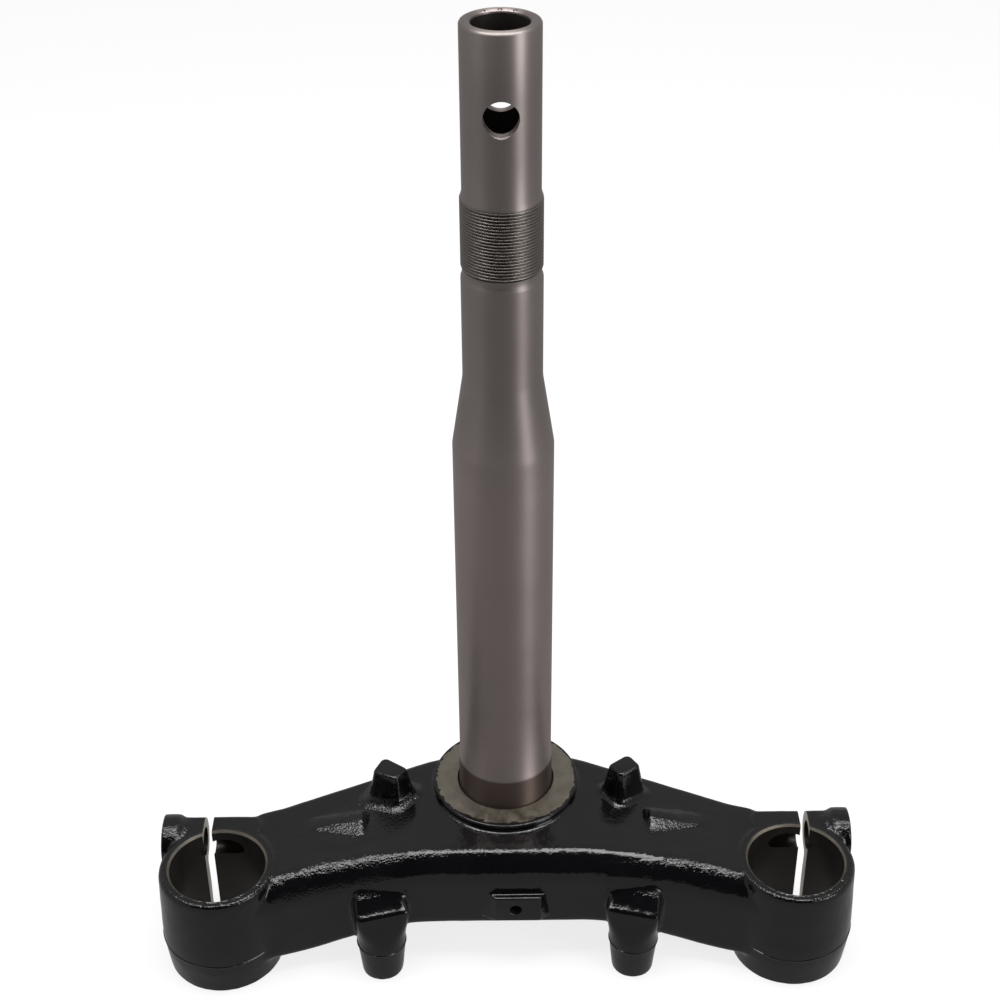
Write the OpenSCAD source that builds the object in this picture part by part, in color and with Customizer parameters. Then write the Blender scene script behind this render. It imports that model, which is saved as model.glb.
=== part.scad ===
// Lower fork yoke of a small motorcycle, with its pressed-in steering stem.
// Millimetres. The origin is the centre of the yoke's machined ring face, on the
// stem's axis. +Z runs up the stem and the front of the yoke faces -Y.

/* [Steering stem] */
// Height of the stem's top above the ring face
stem_rise = 278.8; // [250:0.1:310]
// Diameter of the turned top section, where the handlebar clamps
top_d = 23.6; // [22:0.1:24.4]
// Outside diameter of the head thread
thread_d = 25; // [24.6:0.1:26]
// Height of the thread's upper end above the ring face
thread_top = 226.2; // [215:0.1:235]
// Length of the thread
thread_len = 21.8; // [15:0.1:30]
// Diameter of the relief groove under the thread
relief_d = 24.2; // [23:0.1:24.5]
// Width of the relief groove
relief_w = 2.4; // [1.5:0.1:4]
// Diameter of the neck below the thread
neck_d = 25.1; // [24.6:0.1:27]
// Height of the neck's lower end, where the cone begins
cone_top = 166.8; // [155:0.1:175]
// Height of the cone's lower end
cone_bottom = 142; // [130:0.1:150]
// Diameter of the lower stem
lower_d = 32.5; // [30:0.1:33]
// Diameter of the lower bearing seat
seat_d = 33.2; // [33:0.1:35]
// Step from the bearing seat out to the press fit, as a change in radius
press_step = 0.3; // [0.3:0.05:0.6]
// Height of the lower bearing seat above the ring face
seat_h = 12.6; // [8:0.1:18]
// Wall of the stem tube at its neck
tube_wall = 4.05; // [3:0.05:5]
// Diameter of the cross hole near the top
cross_hole_d = 10.5; // [8:0.1:12]
// Distance from the stem's top down to the cross hole's centre
cross_hole_drop = 24.7; // [18:0.1:30]

/* [Fork clamps] */
// Distance between the two fork tubes
fork_spacing = 201.4; // [190:0.2:220]
// Distance of the fork tubes in front of the stem's axis
fork_offset = 35.2; // [32:0.1:40]
// Diameter of the fork tube bores
fork_bore_d = 33.4; // [31:0.1:36]
// Wall of the clamps around the bores
clamp_wall = 3.7; // [3.4:0.1:5]
// Height of the clamps
clamp_h = 40.8; // [38:0.1:46]
// Depth of the clamps' top faces below the ring face
clamp_drop = 8; // [7:0.1:10]
// Growth of the clamps' radius from the top face down to the parting line
clamp_bulge = 1.1; // [0.4:0.1:1.6]
// Radius lost again from the parting line down to the underside
clamp_taper = 1.4; // [0.4:0.1:2]
// Chamfer at the mouth of each fork bore
bore_chamfer = 1.2; // [0.5:0.1:1.6]
// Width of the clamping slots
slot_w = 3.1; // [2:0.1:4]
// Distance of each slot outboard of its bore's centre
slot_offset = 5.6; // [4:0.1:6.5]

/* [Pinch bolts] */
// Distance of the pinch bolts behind the fork bores' centres
bolt_back = 19.5; // [18.8:0.1:21]
// Depth of the pinch bolts below the clamps' top faces
bolt_drop = 7.4; // [6.8:0.1:10]
// Tapped hole for the pinch bolt, in the inner lug
bolt_tap_d = 8.8; // [6.8:0.1:9]
// Clearance hole for the pinch bolt, in the outer lug
bolt_clear_d = 10.2; // [9:0.1:10.6]
// Diameter of the round boss under the bolt's head
bolt_boss_d = 19.4; // [18:0.1:21]
// Reach of the bolt boss outboard of the bore's centre
bolt_boss_reach = 21.5; // [20.5:0.1:26]
// Diameter of the lugs on both sides of the slot
lug_d = 17; // [15:0.1:18]
// Reach of the lugs' flat top, outboard of the bore's centre
lug_flat = 14.6; // [12:0.1:16]
// Length of the inner lug, inboard of the bore's centre
lug_inner = 13; // [10:0.1:16]

/* [Crown] */
// Diameter of the bare machined ring face
ring_d = 50.4; // [46:0.1:54]
// Width of the painted shoulder around the ring face
ring_shoulder = 0.9; // [0.5:0.1:1.5]
// Height of the ring face above the arms' top
ring_h = 2.5; // [2:0.1:4.5]
// Fillet where the boss meets the arms' top
boss_fillet = 0.9; // [0.5:0.1:1.5]
// Radius lost by the boss between the parting line and its underside
boss_taper = 2.2; // [1:0.1:4]

/* [Arms] */
// Distance of the arms' front face in front of the stem's axis, at the middle
arm_front = 41; // [38:0.1:43]
// Height of the arms at the middle
arm_h = 29.8; // [26:0.1:33]
// How much deeper the arms are at the clamps
arm_deepen = 9.6; // [6:0.1:11]
// Radius of the broad rounding along the top of the front face
nose_r = 10; // [7:0.1:11]
// Radius of the rear top edge
rear_r = 3.5; // [2:0.1:5]
// Radius of the lower edges
foot_r = 2.4; // [1:0.1:4]
// Height of the machined clamp faces above the arms' cast top
rim_proud = 0.4; // [0.3:0.1:1.5]
// Depth of the parting line below the ring face
parting_drop = 36; // [32:0.1:39]

/* [Steering stops] */
// Distance of each stop from the middle
stop_x = 41.8; // [38:0.1:48]
// Distance of the stops in front of the stem's axis
stop_y = 4.7; // [0:0.1:8]
// Height of the stops above the arms' top
stop_h = 12.3; // [9:0.1:16]
// Length of a stop's top face
stop_l = 8.6; // [7:0.1:10]
// Width of a stop's top face
stop_w = 6.2; // [5:0.1:8]
// Turn of each stop about its own middle, in degrees
stop_turn = 31; // [15:1:40]
// Widening of a stop on each side, from top to foot
stop_draft = 1.5; // [0.8:0.1:2.5]
// Height of the fading rib beside each stop
rib_h = 1.5; // [0.8:0.1:2.5]
// Length of the fading rib, from the middle of the stop
rib_l = 29; // [22:0.5:34]
// Width of the fading rib at its thick end
rib_w = 12.1; // [9:0.1:13]

/* [Mudguard bosses] */
// Distance of each boss from the middle
guard_x = 44.3; // [38:0.1:50]
// Distance of the bosses' axes in front of the stem's axis
guard_y = 43.9; // [42:0.1:46]
// Diameter of a boss
guard_d = 17; // [14:0.1:19]
// Width of a boss's square head
guard_head_w = 19; // [17:0.1:22]
// Depth of the boss's top below the ring face
guard_drop = 17.9; // [16:0.1:22]
// Distance over which the head runs out into the round boss
guard_runout = 9; // [5:0.1:12]
// Turn of each boss's head, in degrees
guard_turn = 15; // [0:1:25]
// Tapped hole in the underside of each boss
guard_tap_d = 6.8; // [5:0.1:8.5]
// Depth of that tapped hole
guard_tap_depth = 18; // [10:0.5:24]

/* [Centre pad] */
// Distance of the pad to the right of the middle
pad_x = 3; // [0:0.1:6]
// Depth of the pad's centre below the ring face
pad_drop = 23.1; // [21:0.1:24]
// Width of the pad's face
pad_w = 17.6; // [14:0.1:20]
// Height of the pad's face
pad_face_h = 11.6; // [10:0.1:12.5]
// Height of the pad above the arms' front face
pad_proud = 2.6; // [2:0.1:4]
// Tapped hole in the pad
pad_tap_d = 4.2; // [3.3:0.1:5]
// Depth of that tapped hole
pad_tap_depth = 12; // [6:0.5:16]

/* [Hidden] */
$fn = 72;
paint = [0.10, 0.10, 0.11];
steel = [0.45, 0.41, 0.39];
// Overlap that sinks one cast form into another
sink = 1;
// Overshoot of a cut past a face
over = 1;
small_edge = 0.6;
fork_x = fork_spacing / 2;
fork_r = fork_bore_d / 2;
clamp_r = fork_r + clamp_wall;
clamp_top = -clamp_drop;
floor_z = clamp_top - clamp_h;
parting_z = -parting_drop;
boss_r = ring_d / 2 + ring_shoulder;
seat_r = seat_d / 2;
press_r = seat_r + press_step;
bolt_y = -fork_offset + bolt_back;
bolt_z = clamp_top - bolt_drop;
bolt_boss_r = bolt_boss_d / 2;
lug_r = lug_d / 2;
arm_top = -ring_h;
tip_top = clamp_top - rim_proud;
// Stations of the arms: level over the crown, then falling to the clamps
crown_x = boss_r + boss_fillet + 1;
tip_x = fork_x - clamp_r;
loft_x = fork_x - 4;
stations = 44;
// Where the front face meets a clamp: the point of its wall at 45 degrees
join_x = fork_x - clamp_r * cos(45);
join_y = fork_offset + clamp_r * sin(45);
bow_power = 3.6;
// The arms grow deeper between these two distances from the middle
deepen_x0 = arm_front * 0.7;
deepen_x1 = join_x - 8;
// Where the rear face meets the lug
corner_x = fork_x - lug_inner + 2;
corner_y = bolt_y + lug_r - 0.3;
corner_dist = sqrt(corner_x * corner_x + corner_y * corner_y);
// The rear walls run in to the boss inside its edge, so that it stands out behind
tangent_r = boss_r - 4.6;
tangent_a = atan2(corner_y, corner_x) + acos(tangent_r / corner_dist);
turn_in_x = corner_x - 1.5;

function smooth(t) = let(u = min(1, max(0, t))) u * u * (3 - 2 * u);
function mix(a, b, t) = a + (b - a) * t;
function circle_y(r, x) = sqrt(max(0, r * r - x * x));
function arc(cx, cy, r, a0, a1, n) =
    [for (i = [0 : n]) let(a = a0 + (a1 - a0) * i / n) [cx + r * cos(a), cy + r * sin(a)]];
// Rounded rectangle, counter-clockwise, from its right side
function rounded(w, d, r, n = 5, y = 0) = concat(
    arc(w / 2 - r, y + d / 2 - r, r, 0, 90, n),
    arc(-w / 2 + r, y + d / 2 - r, r, 90, 180, n),
    arc(-w / 2 + r, y - d / 2 + r, r, 180, 270, n),
    arc(w / 2 - r, y - d / 2 + r, r, 270, 360, n));

// The larger of two values, with a rounded change between them
function soft_max(a, b, k) = let(h = max(0, k - abs(a - b)) / k) max(a, b) + h * h * k / 4;

// Plan and heights of the arms at a distance x from the middle
function bow(x) = mix(arm_front, join_y, pow(abs(x) / join_x, bow_power));
function clamp_front(x) = fork_offset + circle_y(clamp_r, fork_x - abs(x)) - small_edge;
function front_y(x) = -soft_max(min(bow(x), bow(join_x)), clamp_front(x), 5);
function rear_line(x) = abs(x) < tangent_r * cos(tangent_a)
    ? circle_y(tangent_r, x)
    : (tangent_r - abs(x) * cos(tangent_a)) / sin(tangent_a);
function clamp_back(x) = -fork_offset + circle_y(clamp_r, fork_x - abs(x)) - small_edge;
function rear_y(x) = abs(x) < turn_in_x
    ? rear_line(x)
    : mix(rear_line(x), clamp_back(x), smooth((abs(x) - turn_in_x) / (loft_x - turn_in_x)));
function top_z(x) = mix(arm_top, tip_top, min(1, max(0, (abs(x) - crown_x) / (tip_x - crown_x))));
function under_z(x) = arm_top - arm_h
    - arm_deepen * smooth((abs(x) - deepen_x0) / (deepen_x1 - deepen_x0));

// Section of the arms in the plane x, counter-clockwise seen from +X
function arm_section(x) =
    let(f = front_y(x), b = rear_y(x), t = top_z(x), u = under_z(x))
    [for (p = concat(
        arc(b - rear_r, t - rear_r, rear_r, 0, 90, 4),
        arc(f + nose_r, t - nose_r, nose_r, 90, 180, 8),
        arc(f + foot_r, u + foot_r, foot_r, 180, 270, 2),
        arc(b - foot_r, u + foot_r, foot_r, 270, 360, 2))) [x, p[0], p[1]]];

// Solid through a row of rings that each hold the same number of points
module loft(rings) {
    n = len(rings[0]);
    last = len(rings) - 1;
    points = [for (ring = rings) for (p = ring) p];
    sides = [for (s = [0 : last - 1]) for (i = [0 : n - 1])
        let(j = (i + 1) % n, a = s * n + i, b = s * n + j)
        for (face = [[a, a + n, b + n], [a, b + n, b]]) face];
    start = [for (i = [0 : n - 1]) i];
    end = [for (i = [n - 1 : -1 : 0]) last * n + i];
    polyhedron(points = points, faces = concat([start], sides, [end]), convexity = 6);
}

module both_sides() {
    children();
    mirror([1, 0, 0]) children();
}

module arms() {
    loft([for (s = [0 : stations]) arm_section(mix(-loft_x, loft_x, s / stations))]);
}

// Turned form of the boss: ring face, shoulder and drafted lower part
module crown_boss() {
    rotate_extrude()
        polygon(concat(
            [[0, floor_z], [boss_r - boss_taper - small_edge, floor_z],
             [boss_r - boss_taper, floor_z + small_edge], [boss_r, parting_z]],
            arc(ring_d / 2, -ring_shoulder, ring_shoulder, 0, 90, 4),
            [[0, 0]]));
}

// Fillet from the boss to the arms' top, which fades out behind the stem
function fillet_w(a) = boss_fillet * smooth((0.47 - sin(a)) / 0.32);
module crown_fillet() {
    steps = 5;
    around = [for (i = [0 : 59]) i * 6];
    loft(concat(
        [[for (a = around) let(r = boss_r + fillet_w(a) - 0.1) [r * cos(a), r * sin(a), arm_top - sink]]],
        [for (k = [0 : steps])
            [for (a = around)
                let(w = fillet_w(a), q = 90 * k / steps, r = boss_r - 0.1 + w * (1 - sin(q)))
                [r * cos(a), r * sin(a), arm_top - 0.05 + w * (1 - cos(q))]]],
        [[for (a = around) [(boss_r - sink) * cos(a), (boss_r - sink) * sin(a), arm_top + boss_fillet]]]));
}

// Clamp wall, drafted both ways from the parting line
module clamp_body() {
    widest = clamp_r + clamp_bulge;
    lowest = widest - clamp_taper;
    translate([fork_x, -fork_offset, 0])
        rotate_extrude()
            polygon([[0, floor_z], [lowest - small_edge, floor_z], [lowest, floor_z + small_edge],
                     [widest, parting_z], [clamp_r, clamp_top - small_edge],
                     [clamp_r - small_edge, clamp_top], [0, clamp_top]]);
}

// Lugs on both sides of the slot, turned about the bolt's axis, with the round boss
module lugs() {
    difference() {
        translate([fork_x, bolt_y, bolt_z])
            rotate([0, 90, 0])
                rotate_extrude()
                    polygon([[0, -lug_inner - 6], [lug_r * 0.5, -lug_inner - 5], [lug_r, -lug_inner + 2],
                             [lug_r, lug_flat - 1.4], [bolt_boss_r - 0.4, lug_flat + 0.6],
                             [bolt_boss_r, lug_flat + 1.2], [bolt_boss_r, bolt_boss_reach - 0.8],
                             [bolt_boss_r - 0.8, bolt_boss_reach], [0, bolt_boss_reach]]);
        translate([fork_x - lug_inner - 8, bolt_y - bolt_boss_r, clamp_top])
            cube([lug_inner + 8 + lug_flat, bolt_boss_d, bolt_boss_d]);
    }
}

// Tapered stop with a flared foot and rounded top edges
module steering_stop() {
    foot = top_z(stop_x);
    flare = 1.6;
    side_h = stop_h - small_edge;
    heights = [-sink, -0.5, 0, 0.6, flare, side_h * 0.5, side_h];
    function widening(h) = stop_draft * (1 - h / stop_h)
        + flare * pow(max(0, 1 - (h + sink) / (flare + sink)), 2);
    function stop_ring(w, z, r) =
        [for (p = rounded(stop_l + 2 * w, stop_w + 2 * w, r)) [p[0], p[1], foot + z]];
    translate([stop_x, -stop_y, 0])
        rotate([0, 0, stop_turn])
            loft(concat(
                [for (h = heights) stop_ring(widening(h), h, 1.3 + widening(h) / 2)],
                [for (q = [30, 60, 90])
                    stop_ring(widening(side_h) - small_edge * (1 - cos(q)), side_h + small_edge * sin(q),
                        1.3 + widening(side_h) / 2 - small_edge * (1 - cos(q)))]));
}

// Low rib that fades outwards over the arm, beside each stop
module fading_rib() {
    crest_y = -stop_y - 7;
    loft([for (k = [0 : 8])
        let(t = k / 8, x = stop_x + rib_l * t, z = top_z(x), h = rib_h * (1 - smooth((t - 0.25) / 0.75)),
            w = mix(rib_w, rib_w * 0.42, min(1, 1.35 * t)))
        [[x, crest_y + 1, z - sink], [x, crest_y + 0.6, z - 0.2], [x, crest_y, z + h * 0.9],
         [x, crest_y - 0.5, z + h], [x, crest_y - w * 0.6, z + h * 0.92],
         [x, crest_y - w, z - 0.1], [x, crest_y - w, z - sink]]]);
}

// Boss for a mudguard bolt: a square head that runs out into a round, drafted boss
module guard_boss() {
    r = guard_d / 2;
    head_front = r - 2;
    head_d = r + head_front;
    translate([guard_x, -guard_y, 0])
        rotate([0, 0, -guard_turn])
            loft(concat(
                [for (p = [[0.8 + clamp_taper, floor_z], [clamp_taper, floor_z + 0.8], [0, parting_z]])
                    [for (q = rounded(2 * (r - p[0]), 2 * (r - p[0]), (r - p[0]) * 0.999, 8)) [q[0], q[1], p[1]]]],
                [for (k = [0 : 4])
                    let(t = k / 4, z = mix(-guard_drop - guard_runout, -guard_drop - 0.5, t),
                        d = mix(guard_d, head_d, t))
                    [for (q = rounded(mix(guard_d, guard_head_w, t), d, mix(r * 0.999, 1.6, t), 8, mix(0, (guard_d - d) / 2, t)))
                        [q[0], q[1], z]]],
                [[for (q = rounded(guard_head_w - 1, head_d - 1, 1.1, 8, (guard_d - head_d) / 2))
                    [q[0], q[1], -guard_drop]]]));
}

// Chamfered pad on the middle of the front face
module centre_pad() {
    translate([pad_x, -arm_front, -pad_drop])
        rotate([90, 0, 0])
            loft([for (p = [[pad_proud, -sink], [pad_proud, 0.2], [pad_proud * 0.62, pad_proud * 0.5],
                            [small_edge, pad_proud - 0.3], [0, pad_proud]])
                [for (q = rounded(pad_w + 2 * p[0], pad_face_h + 1.6 * p[0], 1 + p[0] * 0.6)) [q[0], q[1], p[1]]]]);
}

// Everything drilled, bored and milled out of the casting
module yoke_cuts() {
    translate([0, 0, floor_z - over])
        cylinder(r = press_r, h = -floor_z + 2 * over);
    translate([0, 0, -small_edge])
        cylinder(r1 = press_r, r2 = press_r + small_edge + over, h = small_edge + over);
    both_sides() {
        translate([fork_x, -fork_offset, floor_z - over])
            cylinder(r = fork_r, h = clamp_h + 2 * over);
        translate([fork_x, -fork_offset, clamp_top - bore_chamfer])
            cylinder(r1 = fork_r, r2 = fork_r + bore_chamfer + over, h = bore_chamfer + over);
        translate([fork_x + slot_offset - slot_w / 2, -fork_offset, floor_z - over])
            cube([slot_w, fork_offset, clamp_h + bolt_boss_d]);
        translate([fork_x - lug_inner, bolt_y, bolt_z])
            rotate([0, 90, 0])
                cylinder(d = bolt_tap_d, h = lug_inner + slot_offset);
        translate([fork_x + slot_offset, bolt_y, bolt_z])
            rotate([0, 90, 0])
                cylinder(d = bolt_clear_d, h = bolt_boss_reach + over);
        translate([guard_x, -guard_y, floor_z - over])
            cylinder(d = guard_tap_d, h = guard_tap_depth + over);
    }
    translate([pad_x, -arm_front - pad_proud - over, -pad_drop])
        rotate([-90, 0, 0])
            cylinder(d = pad_tap_d, h = pad_tap_depth + over);
}

module yoke() {
    color(paint)
        difference() {
            union() {
                arms();
                crown_boss();
                crown_fillet();
                both_sides() {
                    clamp_body();
                    lugs();
                    steering_stop();
                    fading_rib();
                    guard_boss();
                }
                centre_pad();
            }
            yoke_cuts();
        }
}

module steering_stem() {
    top_r = top_d / 2;
    thread_r = thread_d / 2;
    neck_r = neck_d / 2;
    lower_r = lower_d / 2;
    thread_end = thread_top - thread_len;
    upper_bore = neck_r - tube_wall;
    lower_bore = lower_r - tube_wall;
    foot_z = floor_z + 2;
    color(steel)
        difference() {
            rotate_extrude()
                polygon([
                    [lower_bore, foot_z], [press_r - small_edge, foot_z], [press_r, foot_z + small_edge],
                    [press_r, -small_edge], [seat_r, 0], [seat_r, seat_h - small_edge], [lower_r, seat_h],
                    [lower_r, cone_bottom], [neck_r, cone_top],
                    [neck_r, thread_end - relief_w - 0.9], [relief_d / 2, thread_end - relief_w],
                    [relief_d / 2, thread_end], [thread_r, thread_end + 0.4],
                    [thread_r, thread_top], [top_r, thread_top + 2],
                    [top_r, stem_rise - 0.8], [top_r - 0.8, stem_rise],
                    [upper_bore + 0.5, stem_rise], [upper_bore, stem_rise - 0.5],
                    [upper_bore, cone_top], [lower_bore, cone_bottom]]);
            translate([0, 0, stem_rise - cross_hole_drop])
                rotate([90, 0, 0])
                    cylinder(d = cross_hole_d, h = thread_d + 2 * over, center = true);
        }
}

yoke();
steering_stem();
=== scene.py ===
import math

import bmesh
import bpy
import numpy as np
from mathutils import Matrix, Vector, noise


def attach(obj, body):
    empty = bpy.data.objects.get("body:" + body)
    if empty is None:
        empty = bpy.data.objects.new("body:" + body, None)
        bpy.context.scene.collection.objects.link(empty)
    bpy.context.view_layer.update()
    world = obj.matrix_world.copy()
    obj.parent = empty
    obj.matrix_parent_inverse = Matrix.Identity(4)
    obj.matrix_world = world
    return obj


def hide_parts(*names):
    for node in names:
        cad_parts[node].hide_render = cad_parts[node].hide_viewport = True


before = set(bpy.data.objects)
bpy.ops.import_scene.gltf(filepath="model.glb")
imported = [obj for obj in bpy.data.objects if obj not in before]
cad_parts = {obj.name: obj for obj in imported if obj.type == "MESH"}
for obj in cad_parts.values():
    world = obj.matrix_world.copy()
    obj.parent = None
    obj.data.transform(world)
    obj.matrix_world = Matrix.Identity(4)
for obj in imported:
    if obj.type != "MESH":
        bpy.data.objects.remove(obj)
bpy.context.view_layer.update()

# All sizes below are millimetres, as in the part, and are scaled once when a piece is done
MM = 0.001

# The yoke. X runs along the arms, Y to the rear, and Z = 0 is the ring face under the bearing seat
FORK_X, FORK_Y = 100.7, -35.2
FORK_R, CLAMP_R = 16.7, 20.4
CLAMP_WIDEST = CLAMP_R + 1.05
CLAMP_TOP, FLOOR_Z, PARTING_Z = -8.0, -48.8, -36.0
RING_R, BOSS_R, PRESS_R = 25.2, 26.1, 16.9
ARM_TOP, TIP_TOP = -2.5, -8.4
ARM_FRONT, NOSE_H, REAR_R, FOOT_R = 41.0, 10.9, 3.5, 2.4
BOLT_Y, BOLT_Z, LUG_R, BOLT_BOSS_R = -15.7, -15.4, 8.5, 9.7
SHANK_R, PINCH_DRILL_R = 5.1, 4.4
SLOT_X, SLOT_W = FORK_X + 5.6, 3.1
GUARD_X, GUARD_Y, GUARD_R, GUARD_DRILL_R = 44.3, -43.9, 8.6, 3.4
PAD_X, PAD_Y, PAD_Z, PAD_DRILL_R = 3.0, -41.0, -23.1, 2.1
STOP_TOP = 8.2
RIB_START, RIB_END = 49.4, 70.4
VOXEL = 0.8

# The small chamfer at the mouth of a bore, and on the stem's ends
MOUTH = 0.6

# The stem's radii and heights, from its head down
STEM_TOP, STEM_FOOT = 278.8, -46.8
HEAD_R, THREAD_R, NECK_R, WIDE_R, SEAT_R = 11.8, 12.5, 12.55, 16.25, 16.6
THREAD_TOP, THREAD_FOOT, PITCH = 226.2, 204.4, 1.0
HEAD_BORE_R, FOOT_BORE_R = 8.5, 12.25
CROSS_Z, CROSS_R = STEM_TOP - 24.7, 5.25


def at(x, y, z=0):
    return Matrix.Translation((x, y, z))


def turned(degrees, axis):
    return Matrix.Rotation(math.radians(degrees), 4, axis)


def smooth(t):
    t = min(1.0, max(0.0, t))
    return t * t * (3 - 2 * t)


def mix(a, b, t):
    return a + (b - a) * t


def chord(r, x):
    return math.sqrt(max(0.0, r * r - x * x))


def arc(cx, cy, r, a0, a1, n):
    angles = [math.radians(mix(a0, a1, i / n)) for i in range(n + 1)]
    return [(cx + r * math.cos(a), cy + r * math.sin(a)) for a in angles]


def rounded(w, d, r, n=5, y=0.0):
    """Rounded rectangle, counter-clockwise."""
    hx, hy = w / 2 - r, d / 2 - r
    return (arc(hx, y + hy, r, 0, 90, n) + arc(-hx, y + hy, r, 90, 180, n)
            + arc(-hx, y - hy, r, 180, 270, n) + arc(hx, y - hy, r, 270, 360, n))


def soft_corners(points, grow, r, n=6):
    """A convex outline, moved outwards and rounded at its corners."""
    out = []
    count = len(points)
    for i, p in enumerate(points):
        p = Vector(p)
        back = (p - Vector(points[i - 1])).normalized()
        ahead = (Vector(points[(i + 1) % count]) - p).normalized()
        n0, n1 = Vector((back.y, -back.x)), Vector((ahead.y, -ahead.x))
        half = (n0 + n1) / (1 + n0.dot(n1))
        mid = p + half * (grow - r)
        a0 = math.atan2(n0.y, n0.x)
        turn = (math.atan2(n1.y, n1.x) - a0) % (2 * math.pi)
        for k in range(n + 1):
            a = a0 + turn * k / n
            out.append((mid.x + r * math.cos(a), mid.y + r * math.sin(a)))
    return out


# Plan and heights of the arms at a distance x from the middle
JOIN_X = FORK_X - CLAMP_R * math.cos(math.radians(45))
JOIN_Y = -FORK_Y + CLAMP_R * math.sin(math.radians(45))
CORNER_X = FORK_X - 11
CORNER_Y = BOLT_Y + LUG_R - 0.3
TANGENT_R = BOSS_R - 4.6
TANGENT_A = (math.atan2(CORNER_Y, CORNER_X)
             + math.acos(TANGENT_R / math.hypot(CORNER_X, CORNER_Y)))


def soft_max(a, b, k):
    h = max(0.0, k - abs(a - b)) / k
    return max(a, b) + h * h * k / 4


def front_y(x):
    bow = mix(ARM_FRONT, JOIN_Y, min(1.0, abs(x) / JOIN_X) ** 3.6)
    clamp = -FORK_Y + chord(CLAMP_R, FORK_X - abs(x)) - 0.6
    return -soft_max(bow, clamp, 5)


def rear_y(x):
    x = abs(x)
    if x < TANGENT_R * math.cos(TANGENT_A):
        line = chord(TANGENT_R, x)
    else:
        line = (TANGENT_R - x * math.cos(TANGENT_A)) / math.sin(TANGENT_A)
    turn = CORNER_X - 1.5
    if x < turn:
        return line
    clamp = FORK_Y + chord(CLAMP_R, FORK_X - x) - 0.6
    return mix(line, clamp, smooth((x - turn) / (FORK_X - 4 - turn)))


def top_z(x):
    return mix(ARM_TOP, TIP_TOP, min(1.0, max(0.0, (abs(x) - 28) / (FORK_X - CLAMP_R - 28))))


def under_z(x):
    return ARM_TOP - 29.8 - 9.6 * smooth((abs(x) - 28.7) / (JOIN_X - 8 - 28.7))


def nose(f, t):
    """The arm's rounded front, from its crest down: tight above, leaning back below."""
    y, z = f, t - NOSE_H
    points = [(y, z)]
    for r, e0, e1, n in ((12.3, 0, 20, 4), (11.6, 20, 60, 8), (4.5, 60, 90, 6)):
        for i in range(n):
            a = math.radians(mix(e0, e1, i / n))
            b = math.radians(mix(e0, e1, (i + 1) / n))
            y += r * (math.cos(a) - math.cos(b))
            z += r * (math.sin(b) - math.sin(a))
            points.append((y, z))
    return points[::-1]


def arm_section(x):
    f, b, t, u = front_y(x), rear_y(x), top_z(x), under_z(x)
    outline = (arc(b - REAR_R, t - REAR_R, REAR_R, 0, 90, 8) + nose(f, t)
               + arc(f + FOOT_R, u + FOOT_R, FOOT_R, 180, 270, 5)
               + arc(b - FOOT_R, u + FOOT_R, FOOT_R, 270, 360, 5))
    return [(x, y, z) for y, z in outline]


def surface_z(x, y):
    """Height of the arm's top, with the rounding along its rear edge."""
    past = min(REAR_R, max(0.0, y - rear_y(x) + REAR_R))
    return top_z(x) - REAR_R + chord(REAR_R, past)


def loft(bm, rings, place=at(0, 0)):
    """Extrudes a face's edge loop from ring to ring and closes both ends."""
    rings = [[place @ Vector(p) for p in ring] for ring in rings]
    loop = [bm.verts.new(p) for p in rings[0]]
    edges = list(bm.faces.new(loop[::-1]).edges)
    for ring in rings[1:]:
        index = {tuple(round(c, 5) for c in v.co): i for i, v in enumerate(loop)}
        out = bmesh.ops.extrude_edge_only(bm, edges=edges)["geom"]
        made = [g for g in out if isinstance(g, bmesh.types.BMVert)]
        loop = [None] * len(ring)
        for v in made:
            loop[index[tuple(round(c, 5) for c in v.co)]] = v
        fresh = set(made)
        edges = [g for g in out if isinstance(g, bmesh.types.BMEdge) and set(g.verts) <= fresh]
        for v, p in zip(loop, ring):
            v.co = p
    bm.faces.new(loop)


def lathe(bm, profile, place=at(0, 0), steps=96):
    """Spins a profile of (radius, height) about Z, then sets it in place."""
    verts = [bm.verts.new((r, 0, z)) for r, z in profile]
    edges = [bm.edges.new(pair) for pair in zip(verts, verts[1:])]
    bmesh.ops.spin(bm, geom=verts + edges, axis=(0, 0, 1), cent=(0, 0, 0), dvec=(0, 0, 0),
                   angle=2 * math.pi, steps=steps, use_merge=True, use_duplicate=False)
    whole = set(verts)
    grow = list(verts)
    while grow:
        v = grow.pop()
        for e in v.link_edges:
            o = e.other_vert(v)
            if o not in whole:
                whole.add(o)
                grow.append(o)
    bmesh.ops.remove_doubles(bm, verts=list(whole), dist=1e-4)
    whole = [v for v in whole if v.is_valid]
    bmesh.ops.transform(bm, matrix=place, verts=whole)
    return whole


def bar(bm, x0, x1, y0, y1, z0, z1):
    size = Matrix.Diagonal((x1 - x0, y1 - y0, z1 - z0, 1))
    mid = at((x0 + x1) / 2, (y0 + y1) / 2, (z0 + z1) / 2)
    bmesh.ops.create_cube(bm, size=1, matrix=mid @ size)


def along_x(side, x, y, z):
    """Places a lathe so that its axis runs outwards along X on that side."""
    return at(side * x, y, z) @ turned(90 * side, "Y")


def piece(name, bm):
    bmesh.ops.recalc_face_normals(bm, faces=bm.faces)
    mesh = bpy.data.meshes.new(name)
    bm.to_mesh(mesh)
    bm.free()
    obj = bpy.data.objects.new(name, mesh)
    bpy.context.scene.collection.objects.link(obj)
    return obj


def settle(obj):
    """Swaps an object's mesh for what its modifiers make of it."""
    graph = bpy.context.evaluated_depsgraph_get()
    done = bpy.data.meshes.new_from_object(obj.evaluated_get(graph))
    old = obj.data
    obj.modifiers.clear()
    obj.data = done
    bpy.data.meshes.remove(old)


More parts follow.
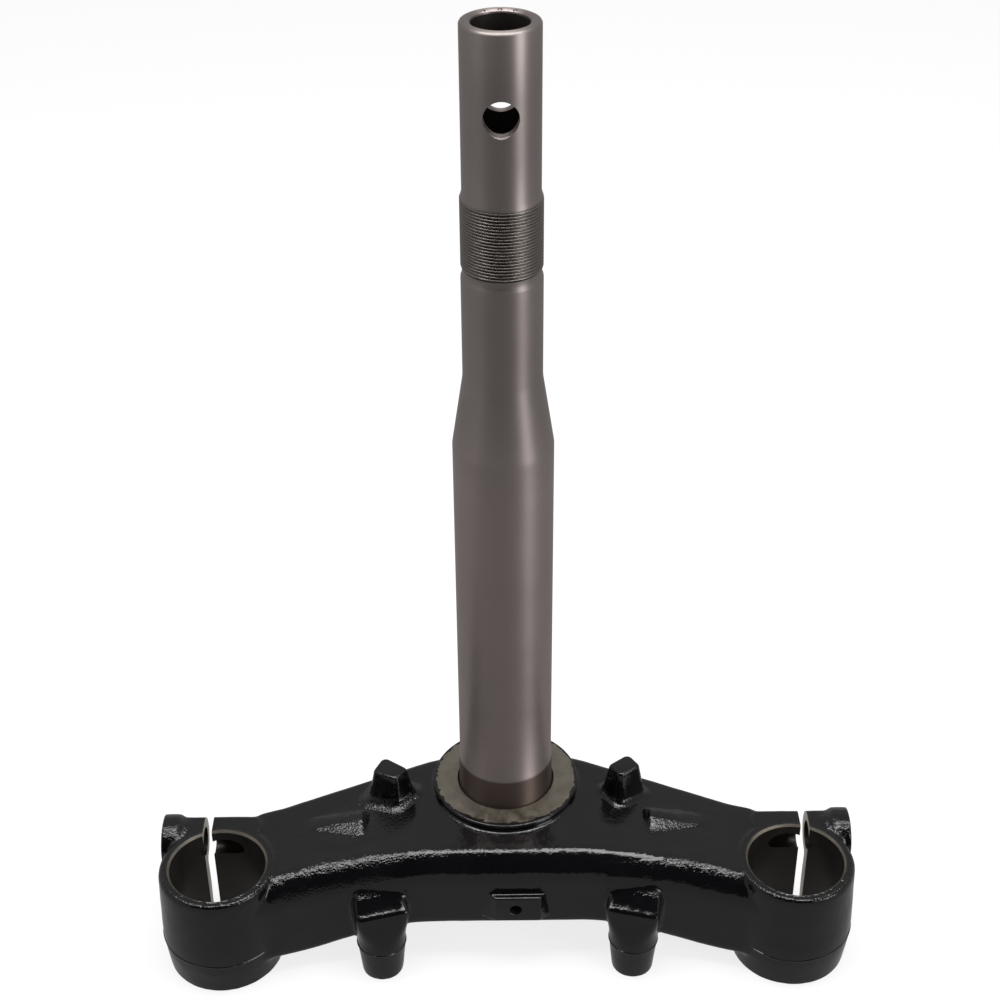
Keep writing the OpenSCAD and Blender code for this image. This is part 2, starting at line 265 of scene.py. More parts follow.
def combine(obj, other, operation="DIFFERENCE"):
    """Cuts the other object away, or adds it, and drops it."""
    mod = obj.modifiers.new("combine", "BOOLEAN")
    mod.operation = operation
    mod.solver = "MANIFOLD"
    mod.object = other
    settle(obj)
    bpy.data.objects.remove(other)


# The casting's big forms: arms, boss, clamps, lugs, ribs and mudguard bosses
def raw_casting():
    bm = bmesh.new()
    reach = FORK_X - 4
    loft(bm, [arm_section(mix(-reach, reach, s / 120)) for s in range(121)])
    lathe(bm, [(0, FLOOR_Z - 1), (BOSS_R - 2.4, FLOOR_Z - 1), (BOSS_R, PARTING_Z), (BOSS_R, -4), (0, -4)])
    for side in (-1, 1):
        wall = [(0, FLOOR_Z - 1), (CLAMP_R - 0.3, FLOOR_Z - 1), (CLAMP_R + 0.8, -40),
                (CLAMP_WIDEST, PARTING_Z), (CLAMP_R + 1.0, -31)]
        wall += arc(CLAMP_R - 1.6, CLAMP_TOP - 1.6, 1.7, 0, 90, 6)
        lathe(bm, wall + [(0, CLAMP_TOP + 0.1)], at(side * FORK_X, FORK_Y))
        bolt_axis = along_x(side, FORK_X, BOLT_Y, BOLT_Z)
        lug = lathe(bm, [(0, -19), (LUG_R * 0.5, -18), (LUG_R + 0.1, -11), (LUG_R + 0.1, 13.6),
                         (LUG_R - 0.4, 15), (0, 15)], bolt_axis, 64)
        parts = set(lug)
        for v in lug:
            parts.update(v.link_edges)
            parts.update(v.link_faces)
        level = bmesh.ops.bisect_plane(bm, geom=list(parts), plane_co=(0, 0, CLAMP_TOP + 0.1),
                                       plane_no=(0, 0, 1), clear_outer=True)["geom_cut"]
        bmesh.ops.edgeloop_fill(bm, edges=[g for g in level if isinstance(g, bmesh.types.BMEdge)])
        lathe(bm, [(0, 12), (LUG_R - 0.5, 12), (LUG_R - 0.4, 14), (BOLT_BOSS_R - 0.1, 15.7),
                   (BOLT_BOSS_R + 0.1, 16.4), (BOLT_BOSS_R + 0.1, 22.2), (0, 22.2)], bolt_axis, 64)
        loft(bm, rib_rings(side))
        loft(bm, guard_rings(), at(side * GUARD_X, GUARD_Y) @ turned(-15 * side, "Z"))
    return piece("yoke_casting", bm)


def rib_rings(side):
    """Low ridge beside a stop: highest and widest there, fading outwards."""
    rings = []
    for k in range(17):
        x = RIB_START + (RIB_END - RIB_START) * k / 16
        fade = min(1.0, max(0.0, (RIB_END - x) / 19.6))
        z = top_z(x)
        h = 2.05 * fade ** 0.9 if x > 50.5 else -0.3
        w = 6.1 * fade + 0.7
        outline = [(-12.4, z - 2), (-12.8, z - 0.2), (-14.0, z + h), (-18.2, z + h),
                   (-18.2 - w, z - 0.1), (-18.6 - w, z - 2)]
        rings.append([(side * x, y, zz) for y, zz in outline])
    return rings


def guard_rings():
    """Round, drafted boss with a square head, and the sloping scoop from its edge up to the arm."""
    r = GUARD_R
    rings = []
    for inset, z in ((1.5, FLOOR_Z - 1), (1.25, FLOOR_Z), (0, PARTING_Z)):
        foot = r - inset
        rings.append([(x, y, z) for x, y in rounded(2 * foot, 2 * foot, foot * 0.999, 10)])
    for k in range(8):
        t = smooth((k + 1) / 8)
        z = mix(-34.0, -20.2, (k + 1) / 8)
        width, depth = mix(2 * r, 19.0, t), 2 * r - 3.0 * t
        corner = mix(r * 0.999, 1.4, t)
        rings.append([(x, y, z) for x, y in rounded(width, depth, corner, 10, 1.5 * t)])
    y, z = -r + 3.2, -19.6
    for k in range(11):
        t = k / 10
        width = 18.4 * math.sqrt(1 - 0.72 * t ** 2.2)
        outline = rounded(width, r - y, mix(1.0, 3.4, t), 10, (r + y) / 2)
        rings.append([(x, yy, z) for x, yy in outline])
        lean = math.radians(74 if k == 0 else mix(57, 49, t))
        y += 1.35 * math.sin(lean)
        z += 1.35 * math.cos(lean)
    return rings


# The crisper forms, which are fused on once the casting has its skin
def collar():
    """Low turned shoulder around the ring face, with the little fillet at its foot."""
    bm = bmesh.new()
    fillet = 0.9
    profile = [(0, -7), (BOSS_R + 1.9, -7), (BOSS_R + 1.9, -3.4), (BOSS_R + 1.4, ARM_TOP - 0.14)]
    for degrees in (84, 72, 66, 60, 45, 30, 15, 0):
        a = math.radians(degrees)
        profile.append((BOSS_R + fillet - fillet * math.cos(a), ARM_TOP + fillet - fillet * math.sin(a)))
    profile += arc(RING_R, -0.9, 0.9, 0, 90, 8)
    profile += [(RING_R - 0.3, 0.8), (0, 0.8)]
    for v in lathe(bm, profile, steps=192):
        r = math.hypot(v.co.x, v.co.y)
        if r > BOSS_R:
            a = math.atan2(v.co.y, v.co.x)
            v.co.xy *= mix(BOSS_R, r, smooth((0.47 - math.sin(a)) / 0.32)) / r
        v.co.z += 0.05 * noise.noise(v.co * 0.7) * (v.co.z < -0.5)
    return piece("collar", bm)


# The corners of the stops' tops, as seen from above
STOP_CORNERS = {-1: ((-43.6, 1.2), (-46.8, -5.8), (-39.3, -8.8), (-35.2, -4.8)),
                1: ((44.0, 1.3), (37.2, -4.0), (40.8, -8.6), (47.5, -4.0))}


def steering_stop(side):
    """Tapered stop: corners of its top, draft, flared foot and a rounded top edge."""
    bm = bmesh.new()
    foot = top_z(41.8)
    height = STOP_TOP - foot
    flare, lip = 2.7 - 0.6 * side, 0.9
    steps = [(-3, flare), (-0.5, flare), (-0.12, flare)]
    steps += [(flare * (1 - math.sin(math.radians(a))), flare * (1 - math.cos(math.radians(a))))
              for a in (84, 77, 70, 62, 54, 45, 36, 27, 18, 9, 0)]
    steps += [(h, 0) for h in (7, 9, height - lip)]
    steps += [(height - lip + lip * math.sin(math.radians(a)), lip * (math.cos(math.radians(a)) - 1))
              for a in (20, 40, 55, 66, 76, 90)]
    rings = []
    for h, out in steps:
        grow = 0.6 + 2.0 * (1 - max(0, h) / height) + out
        hang = 1 - smooth(h / 8)
        ring = []
        for x, y in soft_corners(STOP_CORNERS[side], grow, max(0.6, 1.6 + grow * 0.55)):
            y = mix(y, min(y, rear_y(x) - 0.6), hang)
            ring.append((x, y, mix(foot, surface_z(x, y), hang) + h))
        rings.append(ring)
    loft(bm, rings)
    for v in bm.verts:
        v.co += Vector((1, 1, 0.4)) * (0.10 * noise.noise(v.co * 0.33) + 0.05 * noise.noise(v.co * 0.9))
    return piece("stop", bm)


def centre_pad():
    """Pad with a level top edge, spreading sides and a flat front."""
    bm = bmesh.new()
    base = ((9.7, 5.8), (-8.9, 5.8), (-11.4, -5.0), (11.2, -5.0))
    face = ((8.9, 5.75), (-7.4, 5.75), (-7.4, -5.2), (8.9, -5.2))
    rings = []
    for h, t, grow in ((-4, 0, 0.9), (-0.2, 0, 0.9), (0.05, 0, 0.6), (0.25, 0, 0.32), (0.5, 0.02, 0.1),
                       (0.8, 0.15, 0.0), (1.4, 0.5, 0.0), (2.1, 0.9, 0.0), (2.3, 0.97, -0.08),
                       (2.45, 1, -0.2), (2.55, 1, -0.4), (2.6, 1, -0.7)):
        corners = [(mix(a[0], b[0], t), mix(a[1], b[1], t)) for a, b in zip(base, face)]
        rings.append([(x, y, h) for x, y in soft_corners(corners, grow, 0.9 + grow * 0.5)])
    loft(bm, rings, at(PAD_X, PAD_Y, PAD_Z) @ turned(90, "X"))
    for v in bm.verts:
        v.co += Vector((0, 0.6, 1)) * 0.10 * noise.noise(v.co * 0.4)
    return piece("pad", bm)


def parting_bead(x, y, reach, wander):
    """Thin seam that the mould left around a clamp or a boss."""
    bm = bmesh.new()
    r = 0.36
    profile = [(reach - 0.2 + r * math.cos(math.radians(a)), PARTING_Z + r * math.sin(math.radians(a)))
               for a in range(0, 360, 40)]
    for v in lathe(bm, profile + [profile[0]], at(x, y), 160):
        v.co.z += wander * noise.noise(Vector((v.co.x * 0.09, v.co.y * 0.09, 0.3)))
    return piece("seam", bm)


def points_and_normals(mesh):
    """The mesh's points and their normals, as two arrays of rows."""
    both = []
    for data, label in ((mesh.vertices, "co"), (mesh.vertex_normals, "vector")):
        flat = np.empty(len(data) * 3)
        data.foreach_get(label, flat)
        both.append(flat.reshape(-1, 3))
    return both


def cast_skin(obj):
    """Fuses the raw forms, rounds their joins and gives the surface its lumps."""
    fuse = obj.modifiers.new("fuse", "REMESH")
    fuse.mode = "VOXEL"
    fuse.voxel_size = VOXEL
    ease = obj.modifiers.new("ease", "SMOOTH")
    ease.factor = 0.5
    ease.iterations = 4
    settle(obj)
    mesh = obj.data
    co, nor = points_and_normals(mesh)
    lift = np.empty(len(co))
    for i, p in enumerate(co):
        x, y, z = p
        v = Vector(p)
        near_crest = math.exp(-((y - front_y(x) - 6.4) / 4.0) ** 2) * smooth((z - top_z(x) + 7) / 5)
        rough = 0.03 + 0.05 * near_crest * (1 + 1.6 * smooth((abs(x) - 34) / 14))
        lift[i] = rough * noise.noise(v * 0.42) + 0.10 * noise.noise(v * 0.13) - 0.06
        lift[i] += 0.035 * near_crest * noise.noise(v * 0.9 + Vector((5, 1, 3)))
    co += nor * lift[:, None]
    mesh.vertices.foreach_set("co", co.ravel())
    mesh.update()


def machining():
    """The cutters of everything that is bored, drilled, milled and faced."""
    cutters = []

    def tool(bm, wall, slope=None):
        cutter = piece("cutter", bm)
        cutter.data.materials.append(wall)
        cutter.data.materials.append(slope or wall)
        for face in cutter.data.polygons:
            face.material_index = int(0.3 < abs(face.normal.z) < 0.95)
        cutters.append(cutter)

    def bore(profile, place, steps, wall, slope=None):
        bm = bmesh.new()
        lathe(bm, profile, place, steps)
        tool(bm, wall, slope)

    def mill(wall, *sides):
        bm = bmesh.new()
        bar(bm, *sides)
        tool(bm, wall)

    for side in (-1, 1):
        bore([(0, FLOOR_Z - 5), (FORK_R + 5.2, FLOOR_Z - 5), (FORK_R, FLOOR_Z + MOUTH),
              (FORK_R, CLAMP_TOP - 0.7), (FORK_R + 5.7, CLAMP_TOP + 5), (0, CLAMP_TOP + 5)],
             at(side * FORK_X, FORK_Y), 128, shaded_bore_wall, bare)
        bore([(0, -13), (PINCH_DRILL_R, -13), (PINCH_DRILL_R, 5.6), (SHANK_R, 5.6), (SHANK_R, 21.1), (7, 23),
              (0, 23)], along_x(side, FORK_X, BOLT_Y, BOLT_Z), 64, shaded_bore_wall)
        bore([(0, 0), (30, 0), (30, 30), (0, 30)], along_x(side, FORK_X + 21.5, BOLT_Y, BOLT_Z), 32, paint)
        middle = side * SLOT_X
        # The slot's walls are much lighter: a fresher cut, with painted light on them
        mill(slot_cut_painted_light, middle - SLOT_W / 2, middle + SLOT_W / 2, FORK_Y, 0, FLOOR_Z - 6, 6)
        bore([(0, FLOOR_Z - 3), (GUARD_DRILL_R + 3, FLOOR_Z - 3), (GUARD_DRILL_R, FLOOR_Z + MOUTH),
              (GUARD_DRILL_R, FLOOR_Z + 17), (0, FLOOR_Z + 19)], at(side * GUARD_X, GUARD_Y), 48, shaded_bore_wall)
    bore([(0, 0), (BOSS_R + 3, 0), (BOSS_R + 3, 6), (0, 6)], at(0, 0), 96, ring_face)
    mill(bare, -140, 140, -80, 60, FLOOR_Z - 8, FLOOR_Z)
    bore([(0, FLOOR_Z - 3), (PRESS_R + 3.6, FLOOR_Z - 3), (PRESS_R, FLOOR_Z + MOUTH), (PRESS_R, -MOUTH),
          (PRESS_R + 2, 2), (0, 2)], at(0, 0), 128, shaded_bore_wall)
    bore([(0, -12), (PAD_DRILL_R, -11), (PAD_DRILL_R, -0.25), (3.4, 1), (0, 1)],
         at(PAD_X, PAD_Y - 2.6, PAD_Z) @ turned(90, "X"), 40, shaded_bore_wall)
    return cutters


def shade(obj, degrees):
    """Smooth shading, with edges sharper than the angle kept crisp."""
    mesh = obj.data
    mesh.shade_smooth()
    mesh.set_sharp_from_angle(angle=math.radians(degrees))


# Each patch: its middle, the reach of its full strength, where it ends, and its strength
ROUGH_SPOTS = ((-42.5, -17.5, -4, 5, 11, 0.7), (42, -16, -4, 5, 11, 0.2), (-58, -20.5, -5, 5, 11, 1.0),
               (58, -20.5, -5, 4, 10, 0.6), (-48, -37.5, -7, 4, 10, 1.0), (-62, -39.5, -10, 5, 12, 1.0),
               (-74, -44, -12, 4, 9, 1.0), (62, -38, -8, 3, 9, 0.6))


def mark_rough(obj):
    """Notes where the enamel lies pebbled: on soft edges, in fillets and in a few patches."""
    mesh = obj.data
    co, nor = points_and_normals(mesh)
    up = nor[:, 2]
    edge = np.clip((up - 0.45) / 0.25, 0, 1) * np.clip((0.995 - up) / 0.03, 0, 1)
    rough = edge * (0.3 + 0.7 * np.clip((np.abs(co[:, 0]) - 22) / 20, 0, 1)) * (co[:, 2] > -16)
    rough *= np.where((co[:, 0] > 25) & (co[:, 2] > -6), 0.3, 1.0)
    for x, y, z, near, far, share in ROUGH_SPOTS:
        gap = np.linalg.norm(co - (x, y, z), axis=1)
        rough = np.maximum(rough, share * np.clip((far - gap) / (far - near), 0, 1))
    mesh.attributes.new("rough", "FLOAT", "POINT").data.foreach_set("value", rough)


# The stem: a turned tube with a real helical thread
def stem_profile():
    """Closed outline of the wall: up the outside, down the bore."""
    outer = [(FOOT_BORE_R, STEM_FOOT), (PRESS_R - MOUTH, STEM_FOOT), (PRESS_R, STEM_FOOT + MOUTH),
             (PRESS_R, -MOUTH), (SEAT_R, 0), (SEAT_R, 12.0), (WIDE_R, 12.6)]
    outer += [(WIDE_R, z) for z in (40, 80, 120, 140, 142)]
    outer += [(16.1, 143.2), (12.7, 165.6), (NECK_R, 167.4)]
    outer += [(NECK_R, z) for z in (180, 195, 200.4)]
    outer += [(12.5, 200.9), (12.12, 201.8), (12.1, 202.6), (12.1, 203.9), (12.3, THREAD_FOOT)]
    turns = 22 * 10
    outer += [(THREAD_R, mix(THREAD_FOOT + 0.2, THREAD_TOP - 0.1, i / turns)) for i in range(turns + 1)]
    outer += [(12.4, THREAD_TOP + 0.1)]
    outer += [(HEAD_R, z) for z in (THREAD_TOP + 2, 240, 260, 278.0)]
    outer += [(11.5, 278.55), (11.0, STEM_TOP)]
    inner = [(9.1, STEM_TOP), (8.6, 278.4)]
    inner += [(HEAD_BORE_R, z) for z in (277.9, 240, 200, 166.8)]
    inner += [(12.2, 142), (FOOT_BORE_R, 60)]
    return outer + inner + [outer[0]]


def cut_thread(bm):
    """Presses a helical groove into the wall's close rings, fading out at both ends."""
    for v in bm.verts:
        x, y, z = v.co
        r = math.hypot(x, y)
        if r < 12.3 or not THREAD_FOOT < z < THREAD_TOP + 0.05:
            continue
        phase = (z + PITCH * math.atan2(y, x) / (2 * math.pi)) % PITCH / PITCH
        wave = abs(2 * phase - 1)
        groove = 0.52 * smooth((wave - 0.08) / 0.84)
        ends = min(1.0, (THREAD_TOP + 0.3 - z) / 0.9, (z - THREAD_FOOT + 0.4) / 0.9)
        v.co.xy *= (r - groove * max(0.0, ends)) / r


def turned_stem():
    bm = bmesh.new()
    lathe(bm, stem_profile(), steps=144)
    cut_thread(bm)
    obj = piece("steering_stem_turned", bm)
    obj.data.materials.append(steel)
    obj.data.materials.append(tube_inside_shade)
    for face in obj.data.polygons:
        reach = math.hypot(face.center.x, face.center.y)
        # Faces inside the tube take the near-black painted shade
        face.material_index = int(reach < 12.4 and face.normal.dot(face.center) < 0 and face.center.z < 278.2)

    def drill(bm):
        cutter = piece("cutter", bm)
        cutter.data.materials.append(steel)
        combine(obj, cutter)

    bm = bmesh.new()
    lathe(bm, [(0, -15), (8.6, -15), (CROSS_R, -11.35), (CROSS_R, 11.35), (8.6, 15), (0, 15)],
          at(0, 0, CROSS_Z) @ turned(90, "X"), 64)
    drill(bm)
    # Three little nicks on the rear of the inner rim
    for turn in (62, 90, 121):
        a = math.radians(turn)
        bm = bmesh.new()
        bmesh.ops.create_uvsphere(bm, u_segments=16, v_segments=10, radius=0.75,
                                  matrix=at(9.1 * math.cos(a), 9.1 * math.sin(a), STEM_TOP + 0.15))
        drill(bm)
    return obj


# Shader parts
def new_material(name):
    mat = bpy.data.materials.new(name)
    mat.use_nodes = True
    return mat, mat.node_tree, mat.node_tree.nodes["Principled BSDF"].inputs


def feed(tree, socket, v):
    """Sets a socket to a number or a colour, or links another node's output to it."""
    if isinstance(v, tuple):
        socket.default_value = (*v, 1)
    elif isinstance(v, (int, float)):
        socket.default_value = v
    else:
        tree.links.new(v, socket)


def math_node(tree, op, *values):
    n = tree.nodes.new("ShaderNodeMath")
    n.operation = op
    for socket, v in zip(n.inputs, values):
        feed(tree, socket, v)
    return n.outputs[0]


def noise_node(tree, vector, scale, detail, rough):
    n = tree.nodes.new("ShaderNodeTexNoise")
    n.inputs["Scale"].default_value = scale
    n.inputs["Detail"].default_value = detail
    n.inputs["Roughness"].default_value = rough
    tree.links.new(vector, n.inputs["Vector"])
    return n.outputs["Fac"]


def ramp(tree, value, low, high):
    """0 before low, 1 past high, and soft between them."""
    n = tree.nodes.new("ShaderNodeMapRange")
    n.interpolation_type = "SMOOTHSTEP"
    n.inputs["From Min"].default_value = low
    n.inputs["From Max"].default_value = high
    tree.links.new(value, n.inputs["Value"])
    return n.outputs[0]


def mix_node(tree, kind, fac, a, b):
    n = tree.nodes.new("ShaderNodeMix")
    n.data_type = kind
    for label, v in (("Factor", fac), ("A", a), ("B", b)):
        feed(tree, n.inputs[label], v)
    return n.outputs["Result"]


def mix_color(tree, fac, a, b):
    return mix_node(tree, "RGBA", fac, a, b)


def mix_value(tree, fac, a, b):
    return mix_node(tree, "FLOAT", fac, a, b)


def bump_node(tree, height, strength, distance):
    n = tree.nodes.new("ShaderNodeBump")
    n.inputs["Strength"].default_value = strength
    n.inputs["Distance"].default_value = distance
    tree.links.new(height, n.inputs["Height"])
    return n.outputs[0]


FINISH = (("Color", "NodeSocketColor"), ("Roughness", "NodeSocketFloat"), ("Normal", "NodeSocketVector"))


def finish_group(name, inputs):
    """An empty node group that gives a surface's colour, roughness and normal, and its own two ends."""
    tree = bpy.data.node_groups.new(name, "ShaderNodeTree")
    for label, kind in inputs:
        tree.interface.new_socket(name=label, in_out="INPUT", socket_type=kind)
    for label, kind in FINISH:
        tree.interface.new_socket(name=label, in_out="OUTPUT", socket_type=kind)
    return tree, tree.nodes.new("NodeGroupInput").outputs, tree.nodes.new("NodeGroupOutput").inputs


def worn_metal_group():
    """Machined iron, browned by oil in blotches, with the tool's fine marks."""
    tree, given, wanted = finish_group(
        "worn_metal", [("Place", "NodeSocketVector"), ("Dark", "NodeSocketColor"),
                       ("Light", "NodeSocketColor"), ("Low", "NodeSocketFloat"), ("High", "NodeSocketFloat")])
    blotch = noise_node(tree, given["Place"], 160, 4, 0.6)
    feed(tree, wanted["Color"], mix_color(tree, blotch, given["Dark"], given["Light"]))
    feed(tree, wanted["Roughness"], mix_value(tree, blotch, given["Low"], given["High"]))
    fine = noise_node(tree, given["Place"], 2600, 2, 0.6)
    feed(tree, wanted["Normal"], bump_node(tree, fine, 0.25, 0.0001))
    return tree


def cast_paint_group():
    """Black enamel with an orange-peel skin, pebbled where the mesh says rough."""
    tree, given, wanted = finish_group("cast_paint", [("Place", "NodeSocketVector")])
    peel = noise_node(tree, given["Place"], 420, 3, 0.55)
    grain = noise_node(tree, given["Place"], 1400, 2, 0.5)
    height = math_node(tree, "MULTIPLY_ADD", grain, 0.12, peel)
    rough = tree.nodes.new("ShaderNodeAttribute")
    rough.attribute_name = "rough"
    share = math_node(tree, "MULTIPLY", rough.outputs["Fac"], 3.6)
    pebble = math_node(tree, "MULTIPLY", noise_node(tree, given["Place"], 1200, 2, 0.5), share)
    height = math_node(tree, "ADD", height, pebble)
    feed(tree, wanted["Normal"], bump_node(tree, height, 0.26, 0.0004))
    cloud = noise_node(tree, given["Place"], 60, 3, 0.6)
    feed(tree, wanted["Color"], mix_color(tree, cloud, (0.0018, 0.0018, 0.0022), (0.0036, 0.0034, 0.0040)))
    feed(tree, wanted["Roughness"], mix_value(tree, cloud, 0.07, 0.15))
    return tree


def use_group(tree, group, values):
    n = tree.nodes.new("ShaderNodeGroup")
    n.node_tree = group
    for label, v in values.items():
        feed(tree, n.inputs[label], v)
    return n.outputs


def object_place(tree):
    return tree.nodes.new("ShaderNodeTexCoord").outputs["Object"]


def split(tree, vector):
    n = tree.nodes.new("ShaderNodeSeparateXYZ")
    tree.links.new(vector, n.inputs[0])
    return n.outputs


def wear(tree, bsdf, finish):
    """Gives a surface the colour, roughness and normal of a group."""
    feed(tree, bsdf["Base Color"], finish["Color"])
    feed(tree, bsdf["Roughness"], finish["Roughness"])
    feed(tree, bsdf["Normal"], finish["Normal"])


def paint_material():
    mat, tree, bsdf = new_material("glossy_black_cast")
    wear(tree, bsdf, use_group(tree, cast_paint, {"Place": object_place(tree)}))
    return mat


def metal_material(name, dark, light, low, high, metallic):
    mat, tree, bsdf = new_material(name)
    wear(tree, bsdf, use_group(tree, worn_metal, {"Place": object_place(tree), "Dark": dark, "Light": light,
                                                  "Low": low, "High": high}))
    bsdf["Metallic"].default_value = metallic
    return mat


def ring_material():
    """The bare ring face, darker in blotches towards the front, with paint that creeps over its edge."""
    mat, tree, bsdf = new_material("ring_face")
    place = object_place(tree)
    worn = use_group(tree, worn_metal, {"Place": place, "Dark": (0.105, 0.090, 0.070),
                                        "Light": (0.240, 0.220, 0.178), "Low": 0.34, "High": 0.52})
    coat = use_group(tree, cast_paint, {"Place": place})
    x, y, _ = split(tree, place)
    reach = math_node(tree, "SQRT", math_node(tree, "MULTIPLY_ADD", y, y, math_node(tree, "MULTIPLY", x, x)))
    ragged = math_node(tree, "MULTIPLY_ADD", noise_node(tree, place, 330, 4, 0.65), 0.0045, reach)
    ragged = math_node(tree, "MULTIPLY_ADD", ramp(tree, y, -0.014, -0.024), 0.0008, ragged)
    edge = ramp(tree, ragged, 0.02705, 0.02720)
    # Darker in blotches towards the front
    blot = ramp(tree, noise_node(tree, place, 240, 3, 0.6), 0.36, 0.66)
    front_darkening = math_node(tree, "MULTIPLY", ramp(tree, y, -0.012, -0.021), blot)
    front_darkening = math_node(tree, "MULTIPLY", front_darkening, 0.75)
    tone = mix_color(tree, front_darkening, worn["Color"], (0.035, 0.028, 0.022))
    feed(tree, bsdf["Base Color"], mix_color(tree, edge, tone, coat["Color"]))
    feed(tree, bsdf["Roughness"], mix_value(tree, edge, worn["Roughness"], 0.16))
    feed(tree, bsdf["Metallic"], mix_value(tree, edge, 0.85, 0.0))
    feed(tree, bsdf["Normal"], worn["Normal"])
    return mat


def stem_material():
    """Turned steel, faintly browned, darker on the bearing seat, and darker on the thread with painted shade
    of its grooves.
    """
    mat, tree, bsdf = new_material("turned_steel")
    place = object_place(tree)
    z = split(tree, place)["Z"]

    def band(foot, foot_soft, top_soft, top):
        """1 between two heights, in metres."""
        return math_node(tree, "MULTIPLY", ramp(tree, z, top, top_soft), ramp(tree, z, foot, foot_soft))

    stretch = tree.nodes.new("ShaderNodeMapping")
    stretch.inputs["Scale"].default_value = (60, 60, 2600)
    feed(tree, stretch.inputs["Vector"], place)
    lines = noise_node(tree, stretch.outputs[0], 1.0, 2, 0.5)
    cloud = noise_node(tree, place, 45, 4, 0.6)
    upper = mix_color(tree, cloud, (0.270, 0.234, 0.223), (0.335, 0.292, 0.281))
    lower = mix_color(tree, cloud, (0.325, 0.272, 0.262), (0.400, 0.342, 0.331))
    tone = mix_color(tree, ramp(tree, z, 0.160, 0.128), upper, lower)
    tone = mix_color(tree, band(-0.002, -0.001, 0.0110, 0.0125), tone, (0.128, 0.097, 0.084))
    # The thread is darker: painted shade of its grooves
    tone = mix_color(tree, band(0.2042, 0.2052, 0.2262, 0.2272), tone, (0.225, 0.200, 0.183))
    feed(tree, bsdf["Base Color"], tone)
    feed(tree, bsdf["Normal"], bump_node(tree, lines, 0.12, 0.00005))
    feed(tree, bsdf["Roughness"], mix_value(tree, cloud, 0.42, 0.50))
    around = tree.nodes.new("ShaderNodeTangent")
    around.direction_type = "RADIAL"
    around.axis = "Z"
    feed(tree, bsdf["Tangent"], around.outputs[0])
    bsdf["Anisotropic"].default_value = 0.7
    bsdf["Anisotropic Rotation"].default_value = 0.25
    bsdf["Metallic"].default_value = 1.0
    return mat


worn_metal = worn_metal_group()
cast_paint = cast_paint_group()
paint = paint_material()
bare = metal_material("machined_bare", (0.09, 0.078, 0.064), (0.25, 0.225, 0.19), 0.34, 0.55, 0.85)
# Near black, far darker than the bare metal: painted shade inside the bores and drillings
shaded_bore_wall = metal_material("bore_painted_shade", (0.018, 0.015, 0.0125), (0.045, 0.039, 0.033), 0.30, 0.50, 0.6)
# Near black: painted shade inside the stem's tube
tube_inside_shade = metal_material("tube_inside_painted_shade", (0.010, 0.008, 0.007), (0.028, 0.022, 0.018), 0.35, 0.55, 0.4)
# Much lighter than the bare metal: a fresher cut, with painted light on the slot's walls
slot_cut_painted_light = metal_material("slot_cut_painted_light", (0.50, 0.47, 0.42), (0.66, 0.63, 0.57), 0.35, 0.50, 0.6)
ring_face = ring_material()
steel = stem_material()

yoke = raw_casting()
cast_skin(yoke)
yoke.data.materials.clear()
for coat in (paint, bare, shaded_bore_wall, slot_cut_painted_light, ring_face):
    yoke.data.materials.append(coat)
extras = [collar(), steering_stop(-1), steering_stop(1), centre_pad()]
extras += [parting_bead(side * FORK_X, FORK_Y, CLAMP_WIDEST, 0.35) for side in (-1, 1)]
extras += [parting_bead(side * GUARD_X, GUARD_Y, GUARD_R, 0.1) for side in (-1, 1)]
for extra in extras:
    extra.data.materials.append(paint)
    combine(yoke, extra, "UNION")
for cutter in machining():
    combine(yoke, cutter)
shade(yoke, 32)
mark_rough(yoke)
yoke.data.transform(Matrix.Scale(MM, 4))
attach(yoke, "root")
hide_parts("yoke")

stem = turned_stem()
shade(stem, 40)
stem.data.transform(Matrix.Scale(MM, 4))
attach(stem, "root")
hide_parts("steering_stem")


# Floor, light and camera
def floor_material():
    """White paper. The camera sees mostly its glow, so the shadow on it stays faint."""
    mat, tree, bsdf = new_material("white_floor")
    bsdf["Base Color"].default_value = (0.9, 0.9, 0.9, 1)
    bsdf["Roughness"].default_value = 0.9
    bsdf["Specular IOR Level"].default_value = 0.1
    glow = tree.nodes.new("ShaderNodeEmission")
    glow.inputs["Color"].default_value = (1, 1, 1, 1)
    rays = tree.nodes.new("ShaderNodeLightPath").outputs
    feed(tree, glow.inputs["Strength"], mix_value(tree, rays["Is Glossy Ray"], 1.0, 0.36))
    seen = math_node(tree, "MULTIPLY", rays["Is Camera Ray"], 0.80)
    blend = tree.nodes.new("ShaderNodeMixShader")
    feed(tree, blend.inputs[0], math_node(tree, "MAXIMUM", rays["Is Glossy Ray"], seen))
    feed(tree, blend.inputs[1], tree.nodes["Principled BSDF"].outputs[0])
    feed(tree, blend.inputs[2], glow.outputs[0])
    feed(tree, tree.nodes["Material Output"].inputs["Surface"], blend.outputs[0])
    return mat


bm = bmesh.new()
bmesh.ops.create_grid(bm, x_segments=1, y_segments=1, size=6000)
for v in bm.verts:
    v.co.z = FLOOR_Z - 0.02
floor = piece("floor", bm)
floor.data.transform(Matrix.Scale(MM, 4))
floor.data.materials.append(floor_material())


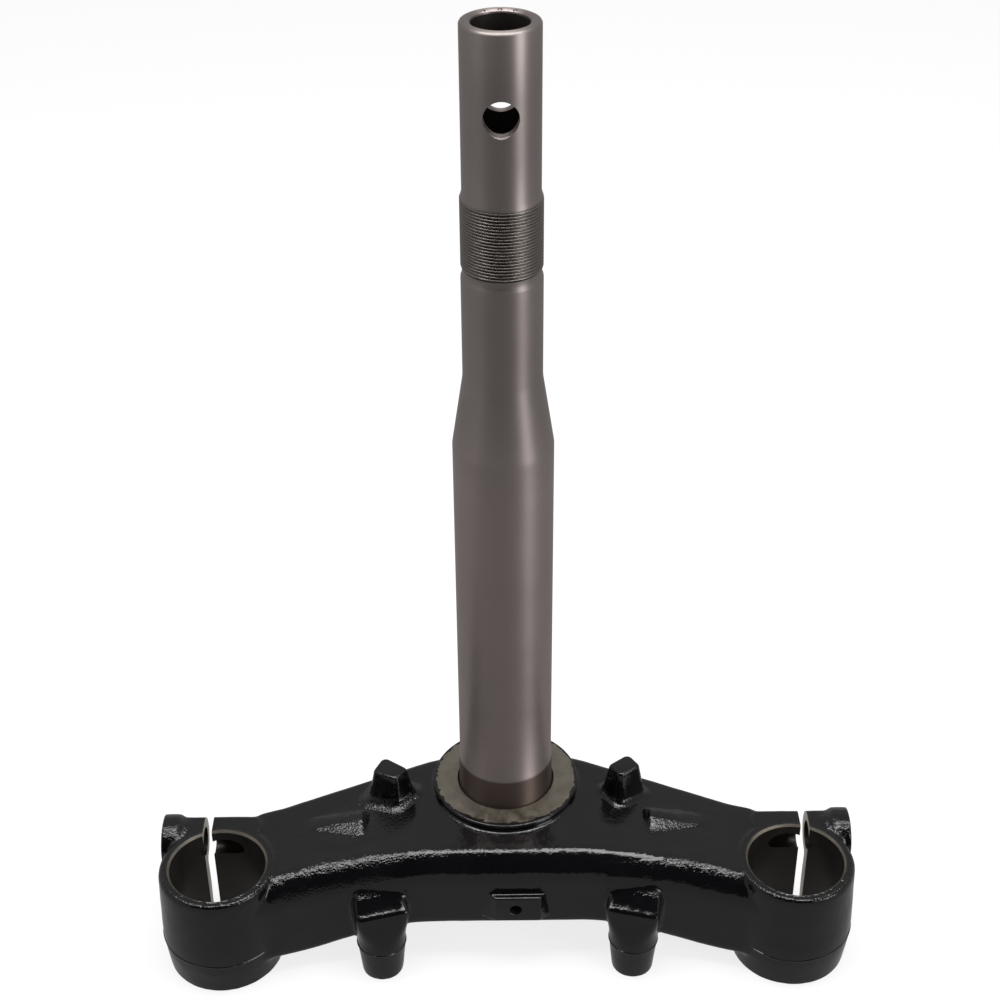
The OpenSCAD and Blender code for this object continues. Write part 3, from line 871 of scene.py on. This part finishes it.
def dark_card(name, y0, y1, z0, z1):
    """The unlit room on the camera's side, which only reflections show."""
    bm = bmesh.new()
    bar(bm, -2600, 2600, y0, y1, z0, z1)
    card = piece(name, bm)
    card.data.transform(Matrix.Scale(MM, 4))
    mat, _, bsdf = new_material(name)
    bsdf["Base Color"].default_value = (0.002, 0.002, 0.002, 1)
    bsdf["Specular IOR Level"].default_value = 0
    card.data.materials.append(mat)
    card.visible_camera = False
    card.visible_diffuse = False
    card.visible_shadow = False


dark_card("dark_wall", -2220, -2200, -20, 2000)
dark_card("dark_ceiling", -2200, -560, 2000, 2020)

world = bpy.data.worlds.new("studio")
bpy.context.scene.world = world
world.use_nodes = True
sky = world.node_tree
back = sky.nodes["Background"].inputs
rays = sky.nodes.new("ShaderNodeLightPath").outputs
mirrored = math_node(sky, "MAXIMUM", rays["Is Glossy Ray"], rays["Is Transmission Ray"])
level = mix_value(sky, mirrored, 0.55, 0.42)
feed(sky, back["Strength"], mix_value(sky, rays["Is Camera Ray"], level, 1.0))
back["Color"].default_value = (1, 1, 1, 1)


def softbox(name, size_x, size_y, power, spot, aim):
    lamp = bpy.data.lights.new(name, "AREA")
    lamp.shape = "RECTANGLE"
    lamp.size, lamp.size_y = size_x, size_y
    lamp.energy = power
    obj = bpy.data.objects.new(name, lamp)
    obj.location = spot
    obj.rotation_euler = (Vector(spot) - Vector(aim)).to_track_quat("Z", "Y").to_euler()
    bpy.context.scene.collection.objects.link(obj)


softbox("overhead_box", 1.3, 0.55, 18, (0.0, 0.0, 1.2), (0, 0, 0))
softbox("side_box", 0.5, 0.9, 6, (1.1, -0.80, 0.45), (0, 0, 0.1))

# The camera stands where the fit on the photograph put it
camera = bpy.data.cameras.new("camera")
camera.sensor_width = 36
camera.lens = 64.78
view = bpy.data.objects.new("camera", camera)
yaw, pitch, roll = math.radians(0.205), math.radians(33.452), math.radians(-0.478)
fwd = Vector((math.sin(yaw) * math.cos(pitch), math.cos(yaw) * math.cos(pitch), -math.sin(pitch)))
right = Vector((math.cos(yaw), -math.sin(yaw), 0))
up = right.cross(fwd)
turned_right = math.cos(roll) * right + math.sin(roll) * up
turned_up = -math.sin(roll) * right + math.cos(roll) * up
pose = Matrix((turned_right, turned_up, -fwd)).transposed().to_4x4()
pose.translation = Vector((-2.93, -488.04, 442.18)) * MM
view.matrix_world = pose
bpy.context.scene.collection.objects.link(view)
bpy.context.scene.camera = view
bpy.context.scene.view_settings.view_transform = "Standard"
